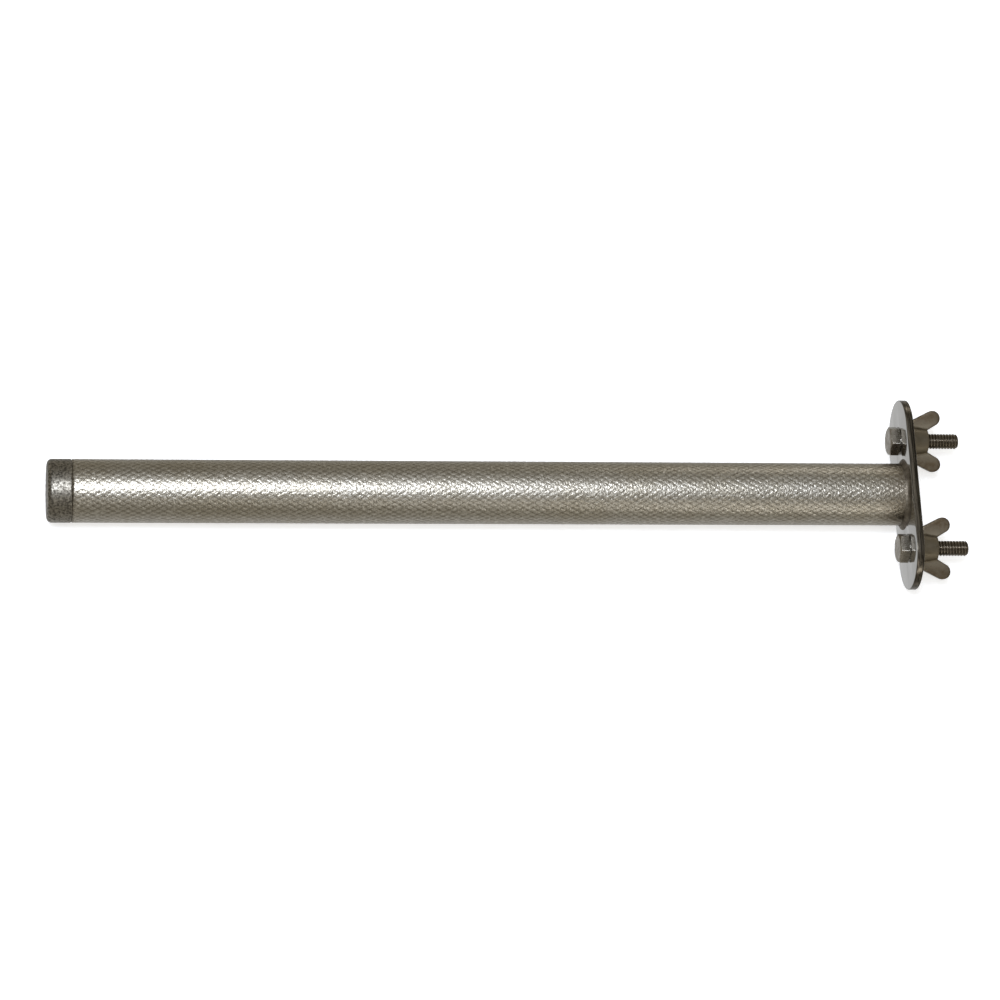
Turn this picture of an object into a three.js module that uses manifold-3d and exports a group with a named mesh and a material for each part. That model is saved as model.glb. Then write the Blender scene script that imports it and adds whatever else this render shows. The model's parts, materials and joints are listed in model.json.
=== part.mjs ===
// Bolt-on knurled grip bar: a round knurled steel tube with a plug in its free end, welded
// square to a flat steel plate that two hex bolts with flat washers and wing nuts clamp in place.
//
// Frame: millimetres. The origin is the centre of the plate's outer face. +X points out of that
// face along the bolts, the tube runs towards -X, and +Y follows the plate's long side. +Z is up:
// the bar lies on one long edge of the plate and on the free end of the tube.

import * as THREE from 'three';
import { mergeVertices } from 'three/addons/utils/BufferGeometryUtils.js';
import Module from 'manifold-3d';

const wasm = await Module();
wasm.setup();

// ---- Driving dimensions ----

const INCH = 25.4;

const KNURL_RISE = 0.3; // the knurl's crests above the 1 in stock
const TUBE_RADIUS = 0.5 * INCH + KNURL_RISE;
const TUBE_WALL = 2 + KNURL_RISE;
const BAR_LENGTH = 14 * INCH; // plate to free end

const CAP_LENGTH = 10; // the part of the plug that stands outside the tube
const CAP_CORNER = 2.1;
const SPIGOT_LENGTH = 14;
const SPIGOT_CHAMFER = 1.0;
const FIT_GAP = 0.05; // radial clearance between pieces pushed into each other

const PLATE_THICKNESS = INCH / 8;
const PLATE_WIDTH = 1.25 * INCH;
const PLATE_LENGTH = 3.25 * INCH;
const PLATE_BREAK = 0.35; // broken edge round the rim and the holes
const PLATE_FACET = 13; // half the foot of the facet in the middle of each face
const HOLE_SPACING = 48;
const HOLE_RADIUS = 3.6;

const WELD_LEG = 1.9;
const WELD_SAG = 0.25; // how far the weld's face dips below a straight fillet
const WELD_GAP = 0.02;

const BOLT_RADIUS = 0.125 * INCH;
const BOLT_LENGTH = 1 * INCH; // under the head
const BOLT_POINT = 0.8; // chamfer at the end of the thread
const HEAD_FLATS = (7 / 16) * INCH;
const HEAD_HEIGHT = (11 / 64) * INCH;
const HEAD_CHAMFER_ANGLE = THREE.MathUtils.degToRad(30);

const WASHER_RADIUS = 9.3;
const WASHER_HOLE = 3.95;
const WASHER_THICKNESS = 1.65;
const WASHER_BREAK = 0.2;

const NUT_BORE = 3.35;
const NUT_HUB_HEIGHT = 7.4;
const NUT_HUB_BASE = 6.3;
const NUT_HUB_TOP = 5.1;
const NUT_HUB_ROUND = 0.6;
const WING_THICKNESS = 3.2;
const WING_BEVEL = 0.6;
const WING_TIP_RADIUS = 3.2;
const WING_TIP = { reach: 9.7, height: 9.8 }; // centre of the rounded tip
const WING_FOOT = { reach: 8.9, height: 1.2 }; // outer corner at the foot
const WING_ARMPIT = { reach: 4.2, height: 6.8 }; // where the wing leaves the hub's top
const NUT_TURN = THREE.MathUtils.degToRad(18); // both nuts stand turned by this much

const SIDES = { plate: 64, tube: 64, bolt: 32, washer: 48, nut: 40 };
const ARC_STEPS = 4;

// ---- Helpers ----

const AXIS_X = new THREE.Vector3(1, 0, 0);
const AXIS_Y = new THREE.Vector3(0, 1, 0);
const AXIS_Z = new THREE.Vector3(0, 0, 1);

// Turns a closed (radius, x) profile about the X axis.
function turned(profile, sides) {
  return new THREE.LatheGeometry(profile, sides).rotateZ(-Math.PI / 2);
}

// Joins (radius, x) corners into a profile and closes it.
function closedProfile(corners) {
  return [...corners, corners[0]].map(([radius, x]) => new THREE.Vector2(radius, x));
}

// A flat shape from z = 0 up to its thickness, its edges chamfered inside the outline.
function extruded(outline, thickness, chamfer, curveSegments) {
  const geometry = new THREE.ExtrudeGeometry(outline, {
    depth: thickness - 2 * chamfer,
    bevelThickness: chamfer,
    bevelSize: chamfer,
    bevelOffset: -chamfer,
    bevelSegments: 1,
    curveSegments,
  });
  return geometry.translate(0, 0, chamfer);
}

function toManifold(geometry) {
  const bare = geometry.clone();
  bare.deleteAttribute('normal');
  bare.deleteAttribute('uv');
  const merged = mergeVertices(bare, 1e-4);
  const vertProperties = new Float32Array(merged.attributes.position.array);
  const triVerts = new Uint32Array(merged.index.array);
  return new wasm.Manifold(new wasm.Mesh({ numProp: 3, vertProperties, triVerts }));
}

function toGeometry(solid) {
  const { vertProperties, triVerts } = solid.getMesh();
  const geometry = new THREE.BufferGeometry();
  geometry.setAttribute('position', new THREE.BufferAttribute(vertProperties, 3));
  geometry.setIndex(new THREE.BufferAttribute(triVerts, 1));
  return geometry;
}

function steel(color, roughness, metalness = 1) {
  return new THREE.MeshStandardMaterial({ color, roughness, metalness });
}

function piece(name, geometry, material) {
  const mesh = new THREE.Mesh(geometry, material);
  mesh.name = name;
  return mesh;
}

// ---- Bar: tube, plug, weld and plate ----

const PLATE_INNER = -PLATE_THICKNESS;
const FREE_END = PLATE_INNER - BAR_LENGTH;
const SEAM = FREE_END + CAP_LENGTH;

function knurledTube() {
  const bore = TUBE_RADIUS - TUBE_WALL;
  const profile = closedProfile([
    [bore, SEAM],
    [TUBE_RADIUS, SEAM],
    [TUBE_RADIUS, PLATE_INNER],
    [bore, PLATE_INNER],
  ]);
  return piece('knurled_tube', turned(profile, SIDES.tube), steel(0x8f887a, 0.38));
}

// A plug whose head carries on the tube's outside and whose spigot is pressed into its bore.
function endCap() {
  const spigotRadius = TUBE_RADIUS - TUBE_WALL - FIT_GAP;
  const spigotEnd = SEAM + SPIGOT_LENGTH;
  const profile = new THREE.Path();
  profile.moveTo(0, FREE_END);
  profile.lineTo(TUBE_RADIUS - CAP_CORNER, FREE_END);
  profile.absarc(TUBE_RADIUS - CAP_CORNER, FREE_END + CAP_CORNER, CAP_CORNER, -Math.PI / 2, 0, false);
  profile.lineTo(TUBE_RADIUS, SEAM);
  profile.lineTo(spigotRadius, SEAM);
  profile.lineTo(spigotRadius, spigotEnd - SPIGOT_CHAMFER);
  profile.lineTo(spigotRadius - SPIGOT_CHAMFER, spigotEnd);
  profile.lineTo(0, spigotEnd);
  return piece('end_cap', turned(profile.getPoints(ARC_STEPS), SIDES.tube), steel(0x77726a, 0.55));
}

// A slightly hollow fillet round the foot of the tube.
function rootWeld() {
  const inner = TUBE_RADIUS + WELD_GAP;
  const toe = PLATE_INNER - WELD_LEG;
  const face = new THREE.Vector2(inner + WELD_LEG / 2 - WELD_SAG, PLATE_INNER - WELD_LEG / 2 + WELD_SAG);
  const profile = new THREE.Path();
  profile.moveTo(inner, PLATE_INNER);
  profile.lineTo(inner, toe);
  profile.quadraticCurveTo(face.x, face.y, inner + WELD_LEG, PLATE_INNER);
  profile.lineTo(inner, PLATE_INNER);
  return piece('root_weld', turned(profile.getPoints(ARC_STEPS), SIDES.tube), steel(0x6d6458, 0.5));
}

// A closed ring of (y, z) points round the plate's rim, moved inwards by inset. It runs from the
// facet's right corner round the right end to the facet's apex, and round the left end back.
function rimRing(inset) {
  const radius = PLATE_WIDTH / 2 - inset;
  const endCentre = (PLATE_LENGTH - PLATE_WIDTH) / 2;
  const ring = new THREE.Path();
  ring.moveTo(PLATE_FACET, -radius);
  ring.lineTo(endCentre, -radius);
  ring.absarc(endCentre, 0, radius, -Math.PI / 2, Math.PI / 2, false);
  ring.lineTo(0, radius);
  ring.lineTo(-endCentre, radius);
  ring.absarc(-endCentre, 0, radius, Math.PI / 2, 1.5 * Math.PI, false);
  ring.lineTo(-PLATE_FACET, -radius);
  return ring.getPoints(SIDES.plate / 4);
}

// A closed ring of (y, z) points round one clearance hole, clockwise, made larger by inset.
function holeRing(side, inset) {
  const ring = new THREE.Path();
  ring.absarc((side * HOLE_SPACING) / 2, 0, HOLE_RADIUS + inset, 0, 2 * Math.PI, true);
  return ring.getPoints(SIDES.plate / 4).slice(0, -1);
}

// Triangles that fill a flat (y, z) outline at x, facing +X, or -X when facing is negative.
function faceTriangles(outline, holes, x, facing) {
  const points = [outline, ...holes].flat();
  const triangles = THREE.ShapeUtils.triangulateShape(outline, holes);
  return triangles.flatMap(([first, second, third]) => {
    const corners = facing > 0 ? [first, second, third] : [first, third, second];
    return corners.map((corner) => new THREE.Vector3(x, points[corner].x, points[corner].y));
  });
}

// Triangles between two rings with as many points each, from the lower x to the higher.
function wallTriangles(low, lowX, high, highX) {
  return low.flatMap((point, index) => {
    const next = (index + 1) % low.length;
    const lowHere = new THREE.Vector3(lowX, point.x, point.y);
    const lowNext = new THREE.Vector3(lowX, low[next].x, low[next].y);
    const highHere = new THREE.Vector3(highX, high[index].x, high[index].y);
    const highNext = new THREE.Vector3(highX, high[next].x, high[next].y);
    return [lowHere, lowNext, highNext, lowHere, highNext, highHere];
  });
}

// Both faces are filled as two ends and one middle triangle, so that the middle of the outer
// face, where the plate is fastened, is a single facet clear of the washers.
function plateFaceTriangles(x, facing) {
  const ring = rimRing(PLATE_BREAK);
  const apex = ring.findIndex((point) => point.x === 0);
  return [
    faceTriangles(ring.slice(0, apex + 1), [holeRing(1, PLATE_BREAK)], x, facing),
    faceTriangles(ring.slice(apex), [holeRing(-1, PLATE_BREAK)], x, facing),
    faceTriangles([ring.at(-1), ring[0], ring[apex]], [], x, facing),
  ].flat();
}

// A flat bar with full-round ends, one clearance hole on each side of the tube.
function mountingPlate() {
  const levels = [
    [PLATE_INNER, PLATE_BREAK],
    [PLATE_INNER + PLATE_BREAK, 0],
    [-PLATE_BREAK, 0],
    [0, PLATE_BREAK],
  ];
  const triangles = [plateFaceTriangles(0, 1), plateFaceTriangles(PLATE_INNER, -1)];
  for (const ringAt of [rimRing, (inset) => holeRing(1, inset), (inset) => holeRing(-1, inset)]) {
    for (let level = 1; level < levels.length; level += 1) {
      const [lowX, lowInset] = levels[level - 1];
      const [highX, highInset] = levels[level];
      triangles.push(wallTriangles(ringAt(lowInset), lowX, ringAt(highInset), highX));
    }
  }
  const geometry = new THREE.BufferGeometry().setFromPoints(triangles.flat());
  return piece('mounting_plate', geometry, steel(0xb9b9b9, 0.12));
}

// ---- Fasteners, each made about the X axis with x = 0 on the plate's outer face ----

// A hexagonal head with two corners on +Y and -Y, its outer rim chamfered, on a plain shank.
function hexBolt(name) {
  const cornerRadius = HEAD_FLATS / Math.sqrt(3);
  const top = PLATE_INNER - HEAD_HEIGHT;
  const chamferRadius = 0.47 * HEAD_FLATS;
  const chamferDepth = (cornerRadius - chamferRadius) * Math.tan(HEAD_CHAMFER_ANGLE);
  const hexagon = new THREE.CylinderGeometry(cornerRadius, cornerRadius, HEAD_HEIGHT, 6);
  hexagon.rotateY(Math.PI / 2);
  hexagon.rotateZ(-Math.PI / 2);
  hexagon.translate(PLATE_INNER - HEAD_HEIGHT / 2, 0, 0);
  const crown = new THREE.Path();
  crown.moveTo(0, top);
  crown.lineTo(chamferRadius, top);
  crown.lineTo(cornerRadius + FIT_GAP, top + chamferDepth);
  crown.lineTo(cornerRadius + FIT_GAP, PLATE_INNER);
  crown.lineTo(0, PLATE_INNER);
  const shankEnd = PLATE_INNER + BOLT_LENGTH;
  const shank = new THREE.Path();
  shank.moveTo(0, PLATE_INNER - HEAD_HEIGHT / 2);
  shank.lineTo(BOLT_RADIUS, PLATE_INNER - HEAD_HEIGHT / 2);
  shank.lineTo(BOLT_RADIUS, shankEnd - BOLT_POINT);
  shank.lineTo(BOLT_RADIUS - BOLT_POINT, shankEnd);
  shank.lineTo(0, shankEnd);
  const head = toManifold(hexagon).intersect(toManifold(turned(crown.getPoints(1), SIDES.washer)));
  const bolt = head.add(toManifold(turned(shank.getPoints(1), SIDES.bolt)));
  return piece(name, toGeometry(bolt), steel(0x8d8579, 0.3));
}

function flatWasher(name) {
  const profile = closedProfile([
    [WASHER_HOLE, 0],
    [WASHER_RADIUS - WASHER_BREAK, 0],
    [WASHER_RADIUS, WASHER_BREAK],
    [WASHER_RADIUS, WASHER_THICKNESS - WASHER_BREAK],
    [WASHER_RADIUS - WASHER_BREAK, WASHER_THICKNESS],
    [WASHER_HOLE, WASHER_THICKNESS],
  ]);
  return piece(name, turned(profile, SIDES.washer), steel(0xa39d92, 0.28));
}

// One wing as an outline in (reach from the axis, height above the nut's foot).
function wingOutline() {
  const outline = new THREE.Shape();
  outline.moveTo(0, WING_FOOT.height);
  outline.lineTo(WING_FOOT.reach, WING_FOOT.height);
  const outerSlope = Math.atan2(WING_TIP.height - WING_FOOT.height,
    WING_TIP.reach + WING_TIP_RADIUS - WING_FOOT.reach);
  const innerSlope = Math.atan2(WING_TIP.height + WING_TIP_RADIUS / 2 - WING_ARMPIT.height,
    WING_TIP.reach - WING_TIP_RADIUS - WING_ARMPIT.reach);
  outline.absarc(WING_TIP.reach, WING_TIP.height, WING_TIP_RADIUS,
    outerSlope - Math.PI / 2, innerSlope + Math.PI / 2, false);
  outline.lineTo(WING_ARMPIT.reach, WING_ARMPIT.height);
  outline.lineTo(0, WING_ARMPIT.height);
  return outline;
}

function wing(side) {
  const geometry = extruded(wingOutline(), WING_THICKNESS, WING_BEVEL, ARC_STEPS);
  geometry.translate(0, 0, -WING_THICKNESS / 2);
  geometry.applyMatrix4(new THREE.Matrix4().makeBasis(AXIS_Y, AXIS_X, AXIS_Z.clone().negate()));
  geometry.rotateX(side > 0 ? 0 : Math.PI);
  return toManifold(geometry);
}

// A tapered hub with two thick upswept wings and a through bore, its foot on the washer.
function wingNut(name) {
  const hubProfile = new THREE.Path();
  hubProfile.moveTo(0, 0);
  hubProfile.lineTo(NUT_HUB_BASE, 0);
  hubProfile.lineTo(NUT_HUB_TOP, NUT_HUB_HEIGHT - NUT_HUB_ROUND);
  hubProfile.lineTo(NUT_HUB_TOP - NUT_HUB_ROUND, NUT_HUB_HEIGHT);
  hubProfile.lineTo(0, NUT_HUB_HEIGHT);
  const boreProfile = new THREE.Path();
  boreProfile.moveTo(0, -1);
  boreProfile.lineTo(NUT_BORE, -1);
  boreProfile.lineTo(NUT_BORE, NUT_HUB_HEIGHT + 1);
  boreProfile.lineTo(0, NUT_HUB_HEIGHT + 1);
  const hub = toManifold(turned(hubProfile.getPoints(1), SIDES.nut));
  const bore = toManifold(turned(boreProfile.getPoints(1), SIDES.nut));
  const body = hub.add(wing(1)).add(wing(-1)).subtract(bore);
  const mesh = piece(name, toGeometry(body), steel(0x857c69, 0.45));
  mesh.position.x = WASHER_THICKNESS;
  mesh.rotation.x = NUT_TURN;
  return mesh;
}

function fastenerSet(letter, side) {
  const set = new THREE.Group();
  set.add(hexBolt(`hex_bolt_${letter}`));
  set.add(flatWasher(`flat_washer_${letter}`));
  set.add(wingNut(`wing_nut_${letter}`));
  set.position.y = (side * HOLE_SPACING) / 2;
  return set;
}

// ---- Assembly ----

const bar = new THREE.Group();
bar.add(knurledTube(), endCap(), rootWeld(), mountingPlate());
bar.add(fastenerSet('a', 1), fastenerSet('b', -1));

export default bar;
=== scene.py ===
"""Looks of the bolt-on knurled grip bar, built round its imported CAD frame. In metres, in the CAD
part's own axes: +X out of the plate's outer face, +Y along the plate's long side, +Z up."""

import json
import math

import bmesh
import bpy
import numpy as np
from mathutils import Matrix, Vector, noise

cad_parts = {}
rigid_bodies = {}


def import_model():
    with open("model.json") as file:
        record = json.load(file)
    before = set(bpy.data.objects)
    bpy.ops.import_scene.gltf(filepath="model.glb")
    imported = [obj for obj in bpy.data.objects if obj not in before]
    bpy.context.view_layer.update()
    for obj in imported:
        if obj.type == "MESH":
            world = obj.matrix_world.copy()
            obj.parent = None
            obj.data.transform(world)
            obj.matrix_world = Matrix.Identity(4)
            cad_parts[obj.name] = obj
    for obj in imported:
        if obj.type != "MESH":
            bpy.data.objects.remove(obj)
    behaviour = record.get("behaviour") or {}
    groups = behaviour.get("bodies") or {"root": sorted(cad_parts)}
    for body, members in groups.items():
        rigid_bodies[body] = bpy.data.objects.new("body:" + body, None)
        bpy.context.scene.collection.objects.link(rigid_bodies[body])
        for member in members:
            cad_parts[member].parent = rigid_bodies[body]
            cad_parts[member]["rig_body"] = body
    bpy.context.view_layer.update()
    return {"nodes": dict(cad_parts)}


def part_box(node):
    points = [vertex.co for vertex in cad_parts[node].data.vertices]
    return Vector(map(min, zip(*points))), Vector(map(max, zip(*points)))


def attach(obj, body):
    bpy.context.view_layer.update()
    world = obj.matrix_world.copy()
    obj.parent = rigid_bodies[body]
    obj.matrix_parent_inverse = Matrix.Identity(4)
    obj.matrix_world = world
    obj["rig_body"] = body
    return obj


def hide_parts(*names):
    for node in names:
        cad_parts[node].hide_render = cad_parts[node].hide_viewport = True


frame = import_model()

MM = 0.001
SETS = (("a", "hex_bolt_a"), ("b", "hex_bolt_b"))  # each bolt has its own washer and wing nut

# ---- Places and sizes read from the frame ----

tube_low, tube_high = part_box("knurled_tube")
cap_low, cap_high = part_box("end_cap")
plate_low, plate_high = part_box("mounting_plate")
_, weld_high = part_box("root_weld")
TUBE_RADIUS = tube_high.z
PLATE_INNER = plate_low.x
PLATE_HALF_WIDTH = plate_high.z
PLATE_HALF_LENGTH = plate_high.y

# ---- Sizes that only the looks need ----

BORE_RADIUS = TUBE_RADIUS - 2.3 * MM
KNURL_STARTS = 36  # grooves of one hand round the tube
KNURL_LEAD = 4.08 * MM  # length of one diamond along the tube
KNURL_DEPTH = 0.13 * MM
KNURL_STEPS = 4  # mesh steps across one diamond
KNURL_CREST = 0.9  # usual height of a diamond, as a share of the depth
KNURL_UNEVEN = 0.3  # how much the diamonds differ in height
KNURL_TILT = 1.4  # how strongly the diamonds' tops may lean
SEAM_BREAK = 0.35 * MM  # chamfer on both sides of the seam and at the tube's foot

PLATE_BREAK = 0.3 * MM
HOLE_RADIUS = 3.6 * MM

THREAD_PITCH = 1.27 * MM
THREAD_DEPTH = 0.42 * MM
SHANK_RADIUS = 3.17 * MM
HEX_FLATS = 11.1 * MM
WASHER_BORE_RADIUS = 3.95 * MM
NUT_BORE_RADIUS = 3.33 * MM
NUT_TURN = math.radians(18)


# ---- Mesh helpers ----

def smooth_object(name, vertices, faces, sharp_angle=35):
    """A smooth-shaded object with hard edges where its faces meet sharply."""
    mesh = bpy.data.meshes.new(name)
    mesh.from_pydata(vertices, [], faces)
    mesh.validate()
    obj = bpy.data.objects.new(name, mesh)
    bpy.context.scene.collection.objects.link(obj)
    tidy_normals(obj, sharp_angle)
    return obj


def tidy_normals(obj, sharp_angle=35):
    """Turns the faces outwards and shades them smooth up to the sharp angle, in degrees."""
    work = bmesh.new()
    work.from_mesh(obj.data)
    bmesh.ops.recalc_face_normals(work, faces=work.faces)
    work.to_mesh(obj.data)
    work.free()
    obj.data.shade_smooth()
    obj.data.set_sharp_from_angle(angle=math.radians(sharp_angle))


def revolve(name, profile, sides, centre=(0, 0), shape=None, sharp_angle=35):
    """Turns (x, radius) points round the X axis through centre (y, z). A profile that starts at
    radius 0 ends there too and is closed at both ends; any other closes on itself.
    shape(x, radius, angle) may move a point."""
    reaches_axis = profile[0][1] == 0
    rings = profile[1:-1] if reaches_axis else profile
    vertices, faces = [], []
    for x, radius in rings:
        for step in range(sides):
            angle = 2 * math.pi * step / sides
            px, pr = shape(x, radius, angle) if shape else (x, radius)
            vertices.append((px, centre[0] + pr * math.cos(angle), centre[1] + pr * math.sin(angle)))
    pairs = len(rings) - 1 if reaches_axis else len(rings)
    for ring in range(pairs):
        after = (ring + 1) % len(rings)
        for step in range(sides):
            beside = (step + 1) % sides
            faces.append((ring * sides + step, ring * sides + beside,
                          after * sides + beside, after * sides + step))
    if reaches_axis:
        for x, first in ((profile[0][0], 0), (profile[-1][0], (len(rings) - 1) * sides)):
            vertices.append((x, *centre))
            pole = len(vertices) - 1
            faces += [(first + step, first + (step + 1) % sides, pole) for step in range(sides)]
    return smooth_object(name, vertices, faces, sharp_angle)


def arc(centre_x, centre_r, radius, start, end, steps):
    """Points of an (x, radius) arc, its angles in degrees from the +X direction."""
    angles = [math.radians(start + (end - start) * i / steps) for i in range(steps + 1)]
    return [(centre_x + radius * math.cos(a), centre_r + radius * math.sin(a)) for a in angles]


def line(start, end, steps):
    """Evenly spaced points from start up to but not including end."""
    return [tuple(Vector(start).lerp(Vector(end), i / steps)) for i in range(steps)]


def join(name, parts, sharp_angle):
    """One object from several closed meshes."""
    work = bmesh.new()
    for part in parts:
        work.from_mesh(part.data)
        bpy.data.objects.remove(part)
    mesh = bpy.data.meshes.new(name)
    work.to_mesh(mesh)
    work.free()
    made = bpy.data.objects.new(name, mesh)
    bpy.context.scene.collection.objects.link(made)
    tidy_normals(made, sharp_angle)
    return made


def apply_modifiers(obj):
    """Replaces the object's mesh with the one that its modifiers make."""
    depsgraph = bpy.context.evaluated_depsgraph_get()
    mesh = bpy.data.meshes.new_from_object(obj.evaluated_get(depsgraph))
    obj.modifiers.clear()
    obj.data = mesh


def store_shares(obj, name, values):
    """Gives each vertex a number that a material reads by this name."""
    shares = obj.data.attributes.new(name, "FLOAT", "POINT")
    shares.data.foreach_set("value", values.astype(np.float32))


def middle_of(node):
    """Y and Z of the axis of a CAD node that runs along X."""
    low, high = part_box(node)
    return (low.y + high.y) / 2, (low.z + high.z) / 2


def place(obj, node, material):
    """The piece stands for a CAD node, moves with that node's body and takes its finish."""
    obj.data.materials.clear()
    obj.data.materials.append(material)
    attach(obj, frame["nodes"][node]["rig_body"])
    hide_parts(node)


# ---- Materials ----

class Shader:
    """A short way to build one metal whose patterns lie in the object's own space."""

    def __init__(self, name, roughness):
        self.material = bpy.data.materials.new(name)
        self.material.use_nodes = True
        self.tree = self.material.node_tree
        self.surface = self.tree.nodes["Principled BSDF"]
        self.surface.inputs["Metallic"].default_value = 1
        self.surface.inputs["Roughness"].default_value = roughness
        self.space = self.tree.nodes.new("ShaderNodeTexCoord").outputs["Object"]

    def node(self, kind, inputs, **settings):
        """A new node, each input of which is a link or a value."""
        made = self.tree.nodes.new(kind)
        for key, value in settings.items():
            setattr(made, key, value)
        for key, value in inputs.items():
            if isinstance(value, bpy.types.NodeSocket):
                self.tree.links.new(value, made.inputs[key])
            else:
                made.inputs[key].default_value = value
        return made

    def noise(self, size, detail=4, stretch=(1, 1, 1)):
        """Noise whose blobs are about size metres across, longer where stretch is above 1."""
        scale = [1 / s for s in stretch]
        moved = self.node("ShaderNodeMapping", {"Vector": self.space, "Scale": scale})
        made = self.node("ShaderNodeTexNoise",
                         {"Vector": moved.outputs[0], "Scale": 1 / size, "Detail": detail})
        return made.outputs["Fac"]

    def spread(self, value, low, high, to_low=0.0, to_high=1.0):
        """Stretches the stretch from low to high onto the one from to_low to to_high."""
        made = self.node("ShaderNodeMapRange", {"Value": value, "From Min": low, "From Max": high,
                                                "To Min": to_low, "To Max": to_high})
        return made.outputs["Result"]

    def mix(self, share, first, second):
        """A colour between first, at share 0, and second, at share 1."""
        made = self.node("ShaderNodeMix", {0: share, 6: first, 7: second}, data_type="RGBA")
        return made.outputs[2]

    def add(self, first, second):
        """The sum of two values."""
        return self.node("ShaderNodeMath", {0: first, 1: second}).outputs[0]

    def attribute(self, name):
        """The number that store_shares gave each vertex, or 0 without one."""
        return self.node("ShaderNodeAttribute", {}, attribute_name=name).outputs["Fac"]

    def colour(self, socket):
        self.tree.links.new(socket, self.surface.inputs["Base Color"])

    def roughness(self, socket):
        self.tree.links.new(socket, self.surface.inputs["Roughness"])

    def bump(self, layers):
        """Stacks (height, depth in metres, strength) layers of bump."""
        normal = None
        for height, depth, strength in layers:
            inputs = {"Height": height, "Distance": depth, "Strength": strength}
            if normal is not None:
                inputs["Normal"] = normal
            normal = self.node("ShaderNodeBump", inputs).outputs["Normal"]
        self.tree.links.new(normal, self.surface.inputs["Normal"])


def rgb(red, green, blue):
    return (red, green, blue, 1)


def knurled_steel():
    """Satin steel: painted shade in the grooves, painted glints in flecks all over, and darker towards
    the plate.
    """
    shader = Shader("knurled_steel", 0.3)
    crest = shader.attribute("crest")
    patches = shader.noise(18 * MM, 3)
    grain = shader.noise(0.5 * MM, 4)
    dents = shader.noise(0.85 * MM, 2)
    warm = shader.mix(shader.spread(patches, 0.35, 0.65), rgb(0.43, 0.393, 0.318),
                      rgb(0.465, 0.437, 0.38))
    # Painted shade: where the crest share is low, in the grooves, the colour turns dark.
    groove = shader.mix(shader.spread(crest, 0.0, 0.35), rgb(0.21, 0.185, 0.145), warm)
    grained = shader.mix(shader.spread(grain, 0.3, 0.7, 0, 0.25), groove, rgb(0.66, 0.63, 0.56))
    # Painted glints: small bright flecks scattered over the whole tube.
    painted_glints = shader.spread(shader.noise(1.2 * MM, 2), 0.52, 0.68, 0, 0.4)
    bright = shader.mix(painted_glints, grained, rgb(0.80, 0.77, 0.70))
    along = shader.node("ShaderNodeSeparateXYZ", {"Vector": shader.space}).outputs["X"]
    # Darker brown over the last few millimetres towards the plate.
    toward_plate = shader.spread(along, PLATE_INNER - 15 * MM, PLATE_INNER - 3 * MM, 0, 0.6)
    shader.colour(shader.mix(toward_plate, bright, rgb(0.22, 0.18, 0.13)))
    shader.roughness(shader.spread(grain, 0.3, 0.7, 0.25, 0.4))
    shader.bump([(dents, 0.29 * MM, 0.6), (grain, 0.03 * MM, 0.5)])
    return shader.material


def cap_steel():
    """Dark blasted steel with bright specks."""
    shader = Shader("cap_steel", 0.45)
    speckle = shader.noise(0.9 * MM, 3)
    patches = shader.noise(6 * MM, 2)
    tone = shader.mix(shader.spread(speckle, 0.38, 0.62), rgb(0.075, 0.068, 0.056),
                      rgb(0.36, 0.335, 0.285))
    shader.colour(shader.mix(shader.spread(patches, 0.3, 0.7, 0, 0.35), tone, rgb(0.25, 0.225, 0.185)))
    shader.roughness(shader.spread(speckle, 0.3, 0.7, 0.5, 0.32))
    shader.bump([(speckle, 0.12 * MM, 0.6)])
    return shader.material


def weld_steel():
    """Straw-brown weld metal with fine dark scale."""
    shader = Shader("weld_steel", 0.42)
    tint = shader.noise(3 * MM, 3)
    grain = shader.noise(0.4 * MM, 4)
    straw = shader.mix(shader.spread(tint, 0.35, 0.65), rgb(0.14, 0.115, 0.085), rgb(0.28, 0.245, 0.19))
    shader.colour(shader.mix(shader.spread(grain, 0.4, 0.7, 0, 0.5), straw, rgb(0.10, 0.092, 0.085)))
    shader.roughness(shader.spread(grain, 0.3, 0.7, 0.45, 0.62))
    shader.bump([(grain, 0.05 * MM, 0.5)])
    return shader.material


def plate_steel():
    """Mirror-polished faces with faint hairlines, and a dark, streaked, duller rim."""
    shader = Shader("plate_steel", 0.09)
    haze = shader.noise(9 * MM, 3)
    hairlines = shader.noise(0.35 * MM, 2, (1, 14, 1))
    rim = shader.attribute("rim")
    face = shader.mix(shader.spread(haze, 0.3, 0.7), rgb(0.55, 0.55, 0.545), rgb(0.62, 0.62, 0.615))
    strokes = shader.noise(0.35 * MM, 2, (1, 40, 6))
    edge = shader.mix(shader.spread(strokes, 0.42, 0.6), rgb(0.045, 0.039, 0.03),
                      rgb(0.17, 0.148, 0.116))
    shader.colour(shader.mix(rim, face, edge))
    polish = shader.spread(haze, 0.3, 0.7, 0.06, 0.13)
    shader.roughness(shader.add(polish, shader.spread(rim, 0, 1, 0, 0.16)))
    shader.bump([(hairlines, 0.004 * MM, 0.35)])
    return shader.material


def turned_steel(name, light, dark, roughness, worn=None):
    """Bright bar steel with faint rings or streaks and small dull spots. Where a piece says it has
    wear, it takes the worn colour."""
    shader = Shader(name, roughness)
    spots = shader.noise(1.6 * MM, 4)
    streaks = shader.noise(0.25 * MM, 2, (6, 1, 1))
    clean = shader.mix(shader.spread(spots, 0.35, 0.68), dark, light)
    shader.colour(shader.mix(shader.attribute("wear"), clean, worn) if worn else clean)
    shader.roughness(shader.spread(spots, 0.3, 0.7, roughness + 0.12, roughness - 0.06))
    shader.bump([(streaks, 0.01 * MM, 0.4), (spots, 0.02 * MM, 0.3)])
    return shader.material


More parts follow.
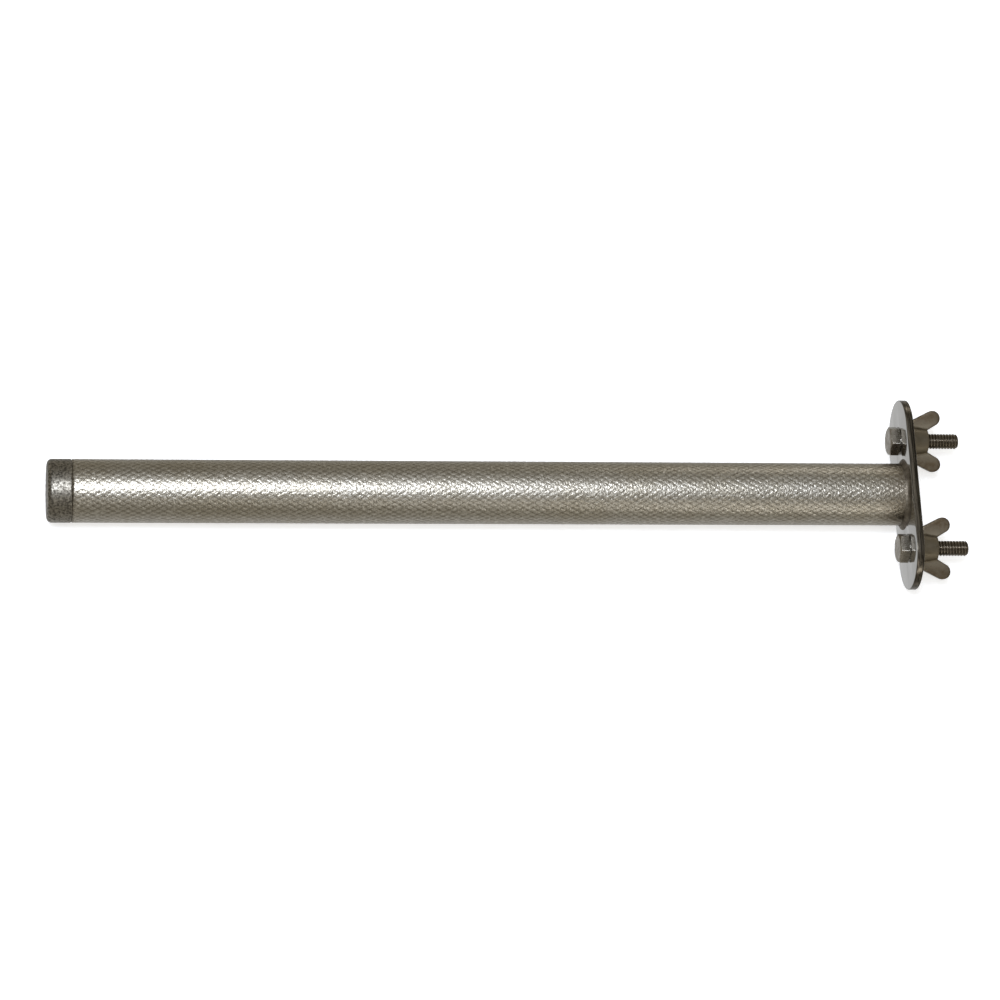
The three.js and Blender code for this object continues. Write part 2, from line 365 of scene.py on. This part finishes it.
def cast_steel():
    """Tumbled cast steel: dark and olive on the wings, painted lighter on the hub as a sheen, finely
    pitted.
    """
    shader = Shader("cast_steel", 0.4)
    lumps = shader.noise(2.2 * MM, 4)
    pits = shader.noise(0.45 * MM, 3)
    olive = shader.mix(shader.spread(lumps, 0.35, 0.65), rgb(0.11, 0.08, 0.047), rgb(0.185, 0.15, 0.105))
    # Painted sheen: the hub takes a lighter colour, so the wings stay darker.
    hub_sheen = shader.mix(shader.attribute("hub"), olive, rgb(0.26, 0.225, 0.165))
    shader.colour(shader.mix(shader.spread(pits, 0.55, 0.75, 0, 0.6), hub_sheen, rgb(0.11, 0.09, 0.065)))
    shader.roughness(shader.spread(lumps, 0.3, 0.7, 0.46, 0.3))
    shader.bump([(lumps, 0.08 * MM, 0.4), (pits, 0.03 * MM, 0.5)])
    return shader.material


# ---- Tube ----

def chance(column, lane, seed):
    """A number from 0 to 1 for each diamond: it looks random, and is the same each run."""
    column_step, lane_step, scatter = 127.1, 311.7, 43758.5453
    value = np.sin(column * column_step + lane * lane_step + seed) * scatter
    return value - np.floor(value)


def flank(phase):
    """The domed rise from 0 in a groove, at each whole number, to 1 midway between two grooves."""
    from_groove = np.abs(phase - np.round(phase)) * 2
    return np.sin(from_groove * math.pi / 2)


def knurl_height(along, around):
    """Height from 0 in a groove to 1 on a crest, from the phases of the two sets of grooves. Each
    diamond has its own height and leans its own way."""
    nudge = 1e-6  # keeps rounding from moving a groove's points to the diamond before it
    column, lane = np.floor(along + nudge), np.floor(around + nudge)
    lean = ((chance(column, lane, 1) - 0.5) * (along - column - 0.5)
            + (chance(column, lane, 2) - 0.5) * (around - lane - 0.5))
    top = (1 - KNURL_UNEVEN * chance(column, lane, 3)) * (1 + KNURL_TILT * lean)
    return flank(along) * flank(around) * np.minimum(KNURL_CREST * top, 1)


def knurled_tube():
    """The tube with its diamond knurl as real relief: a mesh whose edges follow the grooves.
    Each row of vertices is shifted by half a step from the row before it."""
    length = tube_high.x - tube_low.x
    rows = 2 * round(length / KNURL_LEAD * KNURL_STEPS)
    count = KNURL_STARTS * KNURL_STEPS
    row = np.arange(rows + 1)[:, None]
    slant = 2 * np.arange(count)[None, :] + row % 2
    x = np.broadcast_to(tube_low.x + length * row / rows, slant.shape)
    angle = math.pi * slant / count
    crest = knurl_height((slant + row) / (2 * KNURL_STEPS), (slant - row) / (2 * KNURL_STEPS))
    from_end = np.minimum(x - tube_low.x, tube_high.x - x)
    broken = np.clip(1 - from_end / SEAM_BREAK, 0, 1) * SEAM_BREAK
    radius = TUBE_RADIUS - KNURL_DEPTH * (1 - crest) - broken
    outer = np.stack([x, radius * np.cos(angle), radius * np.sin(angle)], -1).reshape(-1, 3)
    ends = [np.stack([x[end], BORE_RADIUS * np.cos(angle[end]), BORE_RADIUS * np.sin(angle[end])], -1)
            for end in (0, -1)]
    index = np.arange((rows + 1) * count).reshape(rows + 1, count)
    faces = []
    # Diamonds, each from a point to the one two rows on
    for k in range(rows - 1):
        shift = 1 - k % 2
        left, right = np.roll(index[k + 1], shift), np.roll(index[k + 1], shift - 1)
        faces += np.stack([index[k], right, index[k + 2], left], -1).tolist()
    # Half diamonds along both ends
    faces += np.stack([index[0], np.roll(index[0], -1), index[1]], -1).tolist()
    faces += np.stack([index[rows], index[rows - 1], np.roll(index[rows], -1)], -1).tolist()
    # End faces and bore
    bore = np.arange(2 * count).reshape(2, count) + index.size
    for a, b in ((index[0], bore[0]), (bore[0], bore[1]), (bore[1], index[rows])):
        faces += np.stack([a, np.roll(a, -1), np.roll(b, -1), b], -1).tolist()
    vertices = np.concatenate([outer, *ends])
    tube = smooth_object("knurled_sleeve", vertices.tolist(), faces, 60)
    # The crest share also sets where the material paints shade into the grooves.
    store_shares(tube, "crest", np.concatenate([crest.reshape(-1), np.zeros(2 * count)]))
    return tube


# ---- Cap and weld ----

def end_cap():
    """The plug: a head with a rounded rim and a blasted skin, on its spigot."""
    corner, skin, lump_size = 2.1 * MM, 0.09 * MM, 0.9 * MM
    first_ring, after_corner = 0.8 * MM, 0.4 * MM
    radius = TUBE_RADIUS
    seam = tube_low.x
    head_end = seam - 0.02 * MM
    spigot, spigot_break = BORE_RADIUS - 0.05 * MM, MM
    profile = [(cap_low.x, 0)]
    profile += line((cap_low.x, first_ring), (cap_low.x, radius - corner), 14)
    profile += arc(cap_low.x + corner, radius - corner, corner, 180, 90, 8)
    profile += line((cap_low.x + corner + after_corner, radius), (seam - SEAM_BREAK, radius), 18)
    profile += [(seam - SEAM_BREAK, radius), (head_end, radius - SEAM_BREAK)]
    profile += [(head_end, spigot), (cap_high.x - spigot_break, spigot)]
    profile += [(cap_high.x, spigot - spigot_break), (cap_high.x, 0)]

    def blasted(x, r, angle):
        if x > seam - SEAM_BREAK:
            return x, r
        point = Vector((x, r * math.cos(angle), r * math.sin(angle)))
        lump = 0.5 + 0.5 * noise.noise(point / lump_size)
        inward = Vector((max(cap_low.x + corner - x, 0), max(r - radius + corner, 0)))
        if inward.length == 0:
            inward = Vector((0, 1))
        inward.normalize()
        return x + skin * lump * inward.x, r - skin * lump * inward.y

    return revolve("end_plug", profile, 144, shape=blasted, sharp_angle=50)


def weld_bead():
    """A fillet of overlapping ripples round the foot of the tube, with a hollow face."""
    leg = weld_high.z - TUBE_RADIUS - 0.1 * MM
    inner = TUBE_RADIUS - KNURL_DEPTH
    gap, hollow, face_steps = 0.01 * MM, 1.6, 8
    ripples, ripple_slant, wanders = 44, 900, 3
    swell_depth, diagonal = 0.8 * MM, 0.7
    profile = [(PLATE_INNER - gap, inner)]
    profile += [(PLATE_INNER - leg * (1 - t) ** hollow - gap, TUBE_RADIUS + leg * t ** hollow)
                for t in (i / face_steps for i in range(face_steps + 1))]

    def rippled(x, r, angle):
        wave = 0.5 + 0.5 * math.cos(ripples * angle + ripple_slant * (PLATE_INNER - x))
        wander = noise.noise(Vector((wanders * math.cos(angle), wanders * math.sin(angle), 0)))
        share = min(max((r - inner) / leg, 0), 1) * min(max((PLATE_INNER - x) / leg, 0), 1)
        swell = share * (0.5 * wave + 0.5 * wander) * swell_depth
        return x - diagonal * swell, r + diagonal * swell

    return revolve("weld_bead", profile, 264, shape=rippled, sharp_angle=80)


# ---- Plate ----

def plate_outlines():
    """The plate's rim and its two holes as closed lists of (y, z) points."""
    steps = 64
    end_centre = PLATE_HALF_LENGTH - PLATE_HALF_WIDTH
    rim = [(side * end_centre + PLATE_HALF_WIDTH * math.cos(a), PLATE_HALF_WIDTH * math.sin(a))
           for side, start in ((1, -90), (-1, 90))
           for a in (math.radians(start + 180 * i / steps) for i in range(steps + 1))]
    holes = [[(middle_of(node)[0] + HOLE_RADIUS * math.cos(a), HOLE_RADIUS * math.sin(a))
              for a in (-2 * math.pi * i / steps for i in range(steps))] for _, node in SETS]
    return rim, *holes


def plate():
    """The plate as a filled outline with rounded edges and two holes."""
    curve = bpy.data.curves.new("plate_outline", "CURVE")
    curve.dimensions = "2D"
    curve.fill_mode = "BOTH"
    curve.extrude = (plate_high.x - plate_low.x) / 2 - PLATE_BREAK
    curve.bevel_depth = PLATE_BREAK
    curve.bevel_resolution = 3
    curve.offset = -PLATE_BREAK
    for outline in plate_outlines():
        spline = curve.splines.new("POLY")
        spline.points.add(len(outline) - 1)
        spline.points.foreach_set("co", [v for y, z in outline for v in (y, z, 0, 1)])
        spline.use_cyclic_u = True
    drawn = bpy.data.objects.new("plate_outline", curve)
    bpy.context.scene.collection.objects.link(drawn)
    bpy.context.view_layer.update()
    mesh = bpy.data.meshes.new_from_object(drawn)
    bpy.data.objects.remove(drawn)
    made = bpy.data.objects.new("round_ended_plate", mesh)
    bpy.context.scene.collection.objects.link(made)
    middle = Vector(((plate_low.x + plate_high.x) / 2, 0, 0))
    upright = Matrix(((0, 0, 1), (1, 0, 0), (0, 1, 0))).to_4x4()
    mesh.transform(Matrix.Translation(middle) @ upright)
    work = bmesh.new()
    work.from_mesh(mesh)
    bmesh.ops.remove_doubles(work, verts=work.verts, dist=0.001 * MM)
    work.to_mesh(mesh)
    work.free()
    tidy_normals(made, 40)
    inset = np.array([min(v.co.x - plate_low.x, plate_high.x - v.co.x) for v in made.data.vertices])
    store_shares(made, "rim", np.clip(inset / (0.5 * PLATE_BREAK), 0, 1))
    return made


# ---- Fasteners ----

def hexagon_radius(angle):
    """Distance from the axis to a unit hexagon's side, half its width across flats being 1.
    Two of its corners are on the Y axis."""
    sixth = math.pi / 3
    return 1 / math.cos((angle % sixth) - sixth / 2)


def hex_bolt(letter, node):
    """A hex head with a chamfered crown and a washer face, on a shank threaded to the head."""
    low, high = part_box(node)
    centre = middle_of(node)
    half_flats = HEX_FLATS / 2
    corner = half_flats * hexagon_radius(0)
    crown = 0.93 * half_flats
    chamfer_angle = math.radians(30)
    chamfer_depth = (corner - crown) * math.tan(chamfer_angle)
    seat = 0.3 * MM
    top = low.x
    head_base = PLATE_INNER - 0.02 * MM
    profile = [(top, 0)]
    profile += line((top, 0.25 * crown), (top, crown), 3)
    profile += line((top, crown), (top + chamfer_depth, corner), 8)
    profile += [(top + chamfer_depth, corner), (head_base - seat, corner)]
    profile += [(head_base - seat, crown), (head_base, crown), (head_base, 0)]

    def hexagon(x, r, angle):
        return x, min(r, half_flats * hexagon_radius(angle)) if r > crown else r

    head = revolve(f"bolt_head_{letter}", profile, 96, centre, hexagon, 25)
    bevel = head.modifiers.new("edges", "BEVEL")
    bevel.width = 0.12 * MM
    bevel.segments = 2
    bevel.limit_method = "ANGLE"
    bevel.angle_limit = math.radians(28)
    apply_modifiers(head)
    shank = threaded_shank(letter, head_base - seat, high.x, centre)
    bolt = join(f"threaded_bolt_{letter}", [head, shank], 30)
    store_shares(bolt, "wear", np.array([v.co.x > PLATE_INNER for v in bolt.data.vertices]))
    return bolt


def threaded_shank(letter, start, end, centre):
    """A shank with a right-hand thread, plain for a short way under the head, and a chamfered
    end."""
    point, plain = 0.8 * MM, 1.2 * MM
    half_groove = 0.34  # as a share of the pitch
    root_flat = 1.15  # above 1 the groove has a flat root
    steps_per_turn = 12
    steps = int((end - start) / THREAD_PITCH * steps_per_turn)
    profile = [(start, 0)]
    profile += line((start, SHANK_RADIUS), (end, SHANK_RADIUS), steps)
    profile += [(end, SHANK_RADIUS - point), (end, 0)]

    def thread(x, r, angle):
        phase = (x / THREAD_PITCH - angle / (2 * math.pi)) % 1
        groove = max(0, 1 - abs(phase - 0.5) / half_groove)
        to_point = max(0, point - (end - x))
        cut = THREAD_DEPTH * min(groove * root_flat, 1) if x > start + plain else 0
        return x, min(r - cut, SHANK_RADIUS - to_point)

    return revolve(f"shank_{letter}", profile, 48, centre, thread, 45)


def flat_washer(letter, node):
    """A stamped washer: rounded over on its outer side, with a small chamfer next to the plate."""
    low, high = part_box(node)
    centre = middle_of(node)
    outer, inner = high.z - centre[1], WASHER_BORE_RADIUS
    rounding, chamfer = 0.45 * MM, 0.1 * MM
    foot = low.x + 0.02 * MM
    profile = [(foot, inner), (foot, outer - chamfer), (low.x + chamfer, outer)]
    profile += arc(high.x - rounding, outer - rounding, rounding, 90, 0, 6)
    profile += arc(high.x - rounding, inner + rounding, rounding, 0, -90, 5)
    return revolve(f"stamped_washer_{letter}", profile, 96, centre, sharp_angle=50)


def wing_outline():
    """One wing as (reach, height) points: out along the foot, round the tip, back to the hub."""
    foot_reach, foot_height = 8.9 * MM, 1.0 * MM
    shoulder_reach, shoulder_height = 4.2 * MM, 6.8 * MM
    tip = Vector((9.7, 9.8)) * MM
    tip_radius = 3.2 * MM
    points = [(0, foot_height), (foot_reach, foot_height)]
    points += arc(tip.x, tip.y, tip_radius, -26, 147, 16)
    points += [(shoulder_reach, shoulder_height), (0, shoulder_height)]
    return points


def wing(side):
    """A wing as a closed slab, thicker at the hub than at its tip."""
    half_at_hub, half_lost, span = 1.9, 0.35, 12 * MM  # the first two in millimetres
    outline = wing_outline()
    count = len(outline)
    vertices = []
    for face in (-1, 1):
        for reach, height in outline:
            half = (half_at_hub - half_lost * reach / span) * MM
            vertices.append((height, side * reach, side * face * half))
    faces = [tuple(range(count)), tuple(range(2 * count - 1, count - 1, -1))]
    faces += [(i, (i + 1) % count, count + (i + 1) % count, count + i) for i in range(count)]
    return smooth_object(f"wing_{side}", vertices, faces)


def wing_nut(letter, node, bolt_node):
    """A cast nut: hub and wings melted into one skin, with a bore drilled through."""
    height, foot, crown = 7.4 * MM, 6.3 * MM, 5.2 * MM
    hub_profile = [(0, 0), (0, foot), (height, crown), (height, 0)]
    parts = [revolve("hub", hub_profile, 64), wing(1), wing(-1)]
    nut = join(f"cast_wing_nut_{letter}", parts, 30)
    melt = nut.modifiers.new("melt", "REMESH")
    melt.mode = "VOXEL"
    melt.voxel_size = 0.24 * MM
    soften = nut.modifiers.new("soften", "SMOOTH")
    soften.factor = 0.5
    soften.iterations = 9
    apply_modifiers(nut)
    drill_start, drill_end = -MM, height + MM
    drill = revolve("drill", [(drill_start, 0), (drill_start, NUT_BORE_RADIUS),
                              (drill_end, NUT_BORE_RADIUS), (drill_end, 0)], 64)
    cut = nut.modifiers.new("bore", "BOOLEAN")
    cut.operation = "DIFFERENCE"
    cut.solver = "EXACT"
    cut.object = drill
    apply_modifiers(nut)
    bpy.data.objects.remove(drill)
    # Share of the hub's painted sheen: full near the axis, fading out along the wings.
    hub_edge, hub_fade = 10 * MM, 5 * MM
    reach = np.array([math.hypot(v.co.y, v.co.z) for v in nut.data.vertices])
    store_shares(nut, "hub", np.clip((hub_edge - reach) / hub_fade, 0, 1))
    low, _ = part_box(node)
    seat = Matrix.Translation(Vector((low.x + 0.03 * MM, middle_of(bolt_node)[0], 0)))
    nut.data.transform(seat @ Matrix.Rotation(NUT_TURN, 4, "X"))
    tidy_normals(nut, 50)
    return nut


# ---- Stage ----

FLOOR_RADIUS = 15
FLOOR_DROP = plate_low.z
TILT = math.atan2(abs(FLOOR_DROP) - TUBE_RADIUS, PLATE_INNER - cap_low.x)

COOL, PALE, WARM = (0.82, 0.88, 1), (0.95, 0.97, 1), (1, 0.98, 0.95)
LIGHTS = (  # name, place, aim, size, watts, colour
    ("overhead_far", (-0.75, -0.25, 1.5), (-0.5, -0.17, 0), (0.4, 0.55), 7.2, COOL),
    ("overhead_near", (-0.36, -0.14, 1.5), (-0.3, -0.06, 0), (0.4, 0.55), 8.9, COOL),
    ("overhead_spill", (-0.02, 0.15, 1.6), (-0.02, 0.15, 0), (0.66, 2.6), 3.7, PALE),
    ("front_spill", (0.1, -1.6, 1.1), (-0.02, 0, 0), (0.5, 0.6), 1.3, WARM),
    ("back_fill", (0.13, 0.6, 0.13), (-0.02, 0, 0), (0.2, 0.14), 0.15, WARM),
    ("front_fill", (0.13, -0.6, 0.12), (-0.02, 0, 0), (0.2, 0.14), 0.21, WARM),
)
ROOM = (  # share of the way from straight down to straight up, colour
    (0.0, (0.62, 0.62, 0.62)), (0.2, (0.47, 0.46, 0.435)), (0.36, (0.36, 0.34, 0.295)),
    (0.55, (0.31, 0.29, 0.245)), (0.8, (0.29, 0.275, 0.245)), (1.0, (0.15, 0.145, 0.13)),
)


def floor():
    """A pale floor under the plate's long edge and the tube's free end."""
    work = bmesh.new()
    bmesh.ops.create_circle(work, cap_ends=True, segments=96, radius=FLOOR_RADIUS)
    mesh = bpy.data.meshes.new("floor")
    work.to_mesh(mesh)
    work.free()
    made = bpy.data.objects.new("floor", mesh)
    bpy.context.scene.collection.objects.link(made)
    made.location = (PLATE_INNER, 0, FLOOR_DROP - 0.05 * MM)
    made.rotation_euler = (0, TILT, 0)
    made.visible_glossy = False
    material = bpy.data.materials.new("pale_floor")
    material.use_nodes = True
    surface = material.node_tree.nodes["Principled BSDF"]
    surface.inputs["Base Color"].default_value = rgb(0.9, 0.9, 0.9)
    surface.inputs["Roughness"].default_value = 0.9
    surface.inputs["Specular IOR Level"].default_value = 0
    surface.inputs["Emission Color"].default_value = rgb(1, 1, 1)
    surface.inputs["Emission Strength"].default_value = 0.62
    mesh.materials.append(material)


def softbox(name, place_at, aim_at, size, power, colour):
    """An area light that the camera doesn't see."""
    light = bpy.data.lights.new(name, "AREA")
    light.shape = "RECTANGLE"
    light.size, light.size_y = size
    light.energy = power
    light.color = colour
    made = bpy.data.objects.new(name, light)
    bpy.context.scene.collection.objects.link(made)
    made.location = place_at
    made.rotation_euler = (Vector(aim_at) - Vector(place_at)).to_track_quat("-Z", "Y").to_euler()
    made.visible_camera = False


def studio():
    """A dim warm room that the camera sees as white, two softboxes over the tube, one long one over
    the plate, one in front, and two small fills low beyond the plate's ends."""
    world = bpy.data.worlds.new("studio")
    bpy.context.scene.world = world
    world.use_nodes = True
    tree = world.node_tree
    direction = tree.nodes.new("ShaderNodeTexCoord").outputs["Generated"]
    split = tree.nodes.new("ShaderNodeSeparateXYZ")
    tree.links.new(direction, split.inputs[0])
    ramp = tree.nodes.new("ShaderNodeValToRGB")
    height = tree.nodes.new("ShaderNodeMapRange")
    height.inputs["From Min"].default_value = -1
    tree.links.new(split.outputs["Z"], height.inputs["Value"])
    tree.links.new(height.outputs["Result"], ramp.inputs["Fac"])
    ramp.color_ramp.elements.remove(ramp.color_ramp.elements[1])
    for index, (at, colour) in enumerate(ROOM):
        element = ramp.color_ramp.elements[0] if index == 0 else ramp.color_ramp.elements.new(at)
        element.position = at
        element.color = (*colour, 1)
    background = tree.nodes["Background"]
    tree.links.new(ramp.outputs["Color"], background.inputs["Color"])
    pale = tree.nodes.new("ShaderNodeBackground")
    pale.inputs["Color"].default_value = rgb(0.95, 0.95, 0.95)
    seen = tree.nodes.new("ShaderNodeLightPath").outputs["Is Camera Ray"]
    both = tree.nodes.new("ShaderNodeMixShader")
    tree.links.new(seen, both.inputs[0])
    tree.links.new(background.outputs[0], both.inputs[1])
    tree.links.new(pale.outputs[0], both.inputs[2])
    tree.links.new(both.outputs[0], tree.nodes["World Output"].inputs["Surface"])
    for light in LIGHTS:
        softbox(*light)


def camera():
    """A long lens from above the bar's front left, rolled until the tube lies level."""
    target = Vector((-173.3, -3.2, 0)) * MM
    distance = 1.7296
    azimuth, elevation, roll = math.radians(-22.32), math.radians(66.96), math.radians(20.94)
    back = Vector((math.sin(azimuth) * math.cos(elevation),
                   -math.cos(azimuth) * math.cos(elevation), math.sin(elevation)))
    data = bpy.data.cameras.new("camera")
    data.sensor_width = 36
    data.lens = 151.5
    data.clip_end = 50
    made = bpy.data.objects.new("camera", data)
    bpy.context.scene.collection.objects.link(made)
    turn = (-back).to_track_quat("-Z", "Y").to_matrix() @ Matrix.Rotation(roll, 3, "Z")
    made.matrix_world = Matrix.Translation(target + distance * back) @ turn.to_4x4()
    bpy.context.scene.camera = made


# ---- Making ----

camera()
floor()
studio()
bpy.context.scene.view_settings.view_transform = "Standard"

place(knurled_tube(), "knurled_tube", knurled_steel())
place(end_cap(), "end_cap", cap_steel())
place(weld_bead(), "root_weld", weld_steel())
place(plate(), "mounting_plate", plate_steel())
bolt_material = turned_steel("bolt_steel", rgb(0.43, 0.40, 0.35), rgb(0.29, 0.265, 0.225), 0.26,
                             worn=rgb(0.165, 0.14, 0.108))
washer_material = turned_steel("washer_steel", rgb(0.62, 0.60, 0.55), rgb(0.46, 0.44, 0.39), 0.28)
nut_material = cast_steel()
for letter, bolt_node in SETS:
    washer_node, nut_node = f"flat_washer_{letter}", f"wing_nut_{letter}"
    place(hex_bolt(letter, bolt_node), bolt_node, bolt_material)
    place(flat_washer(letter, washer_node), washer_node, washer_material)
    place(wing_nut(letter, nut_node, bolt_node), nut_node, nut_material)
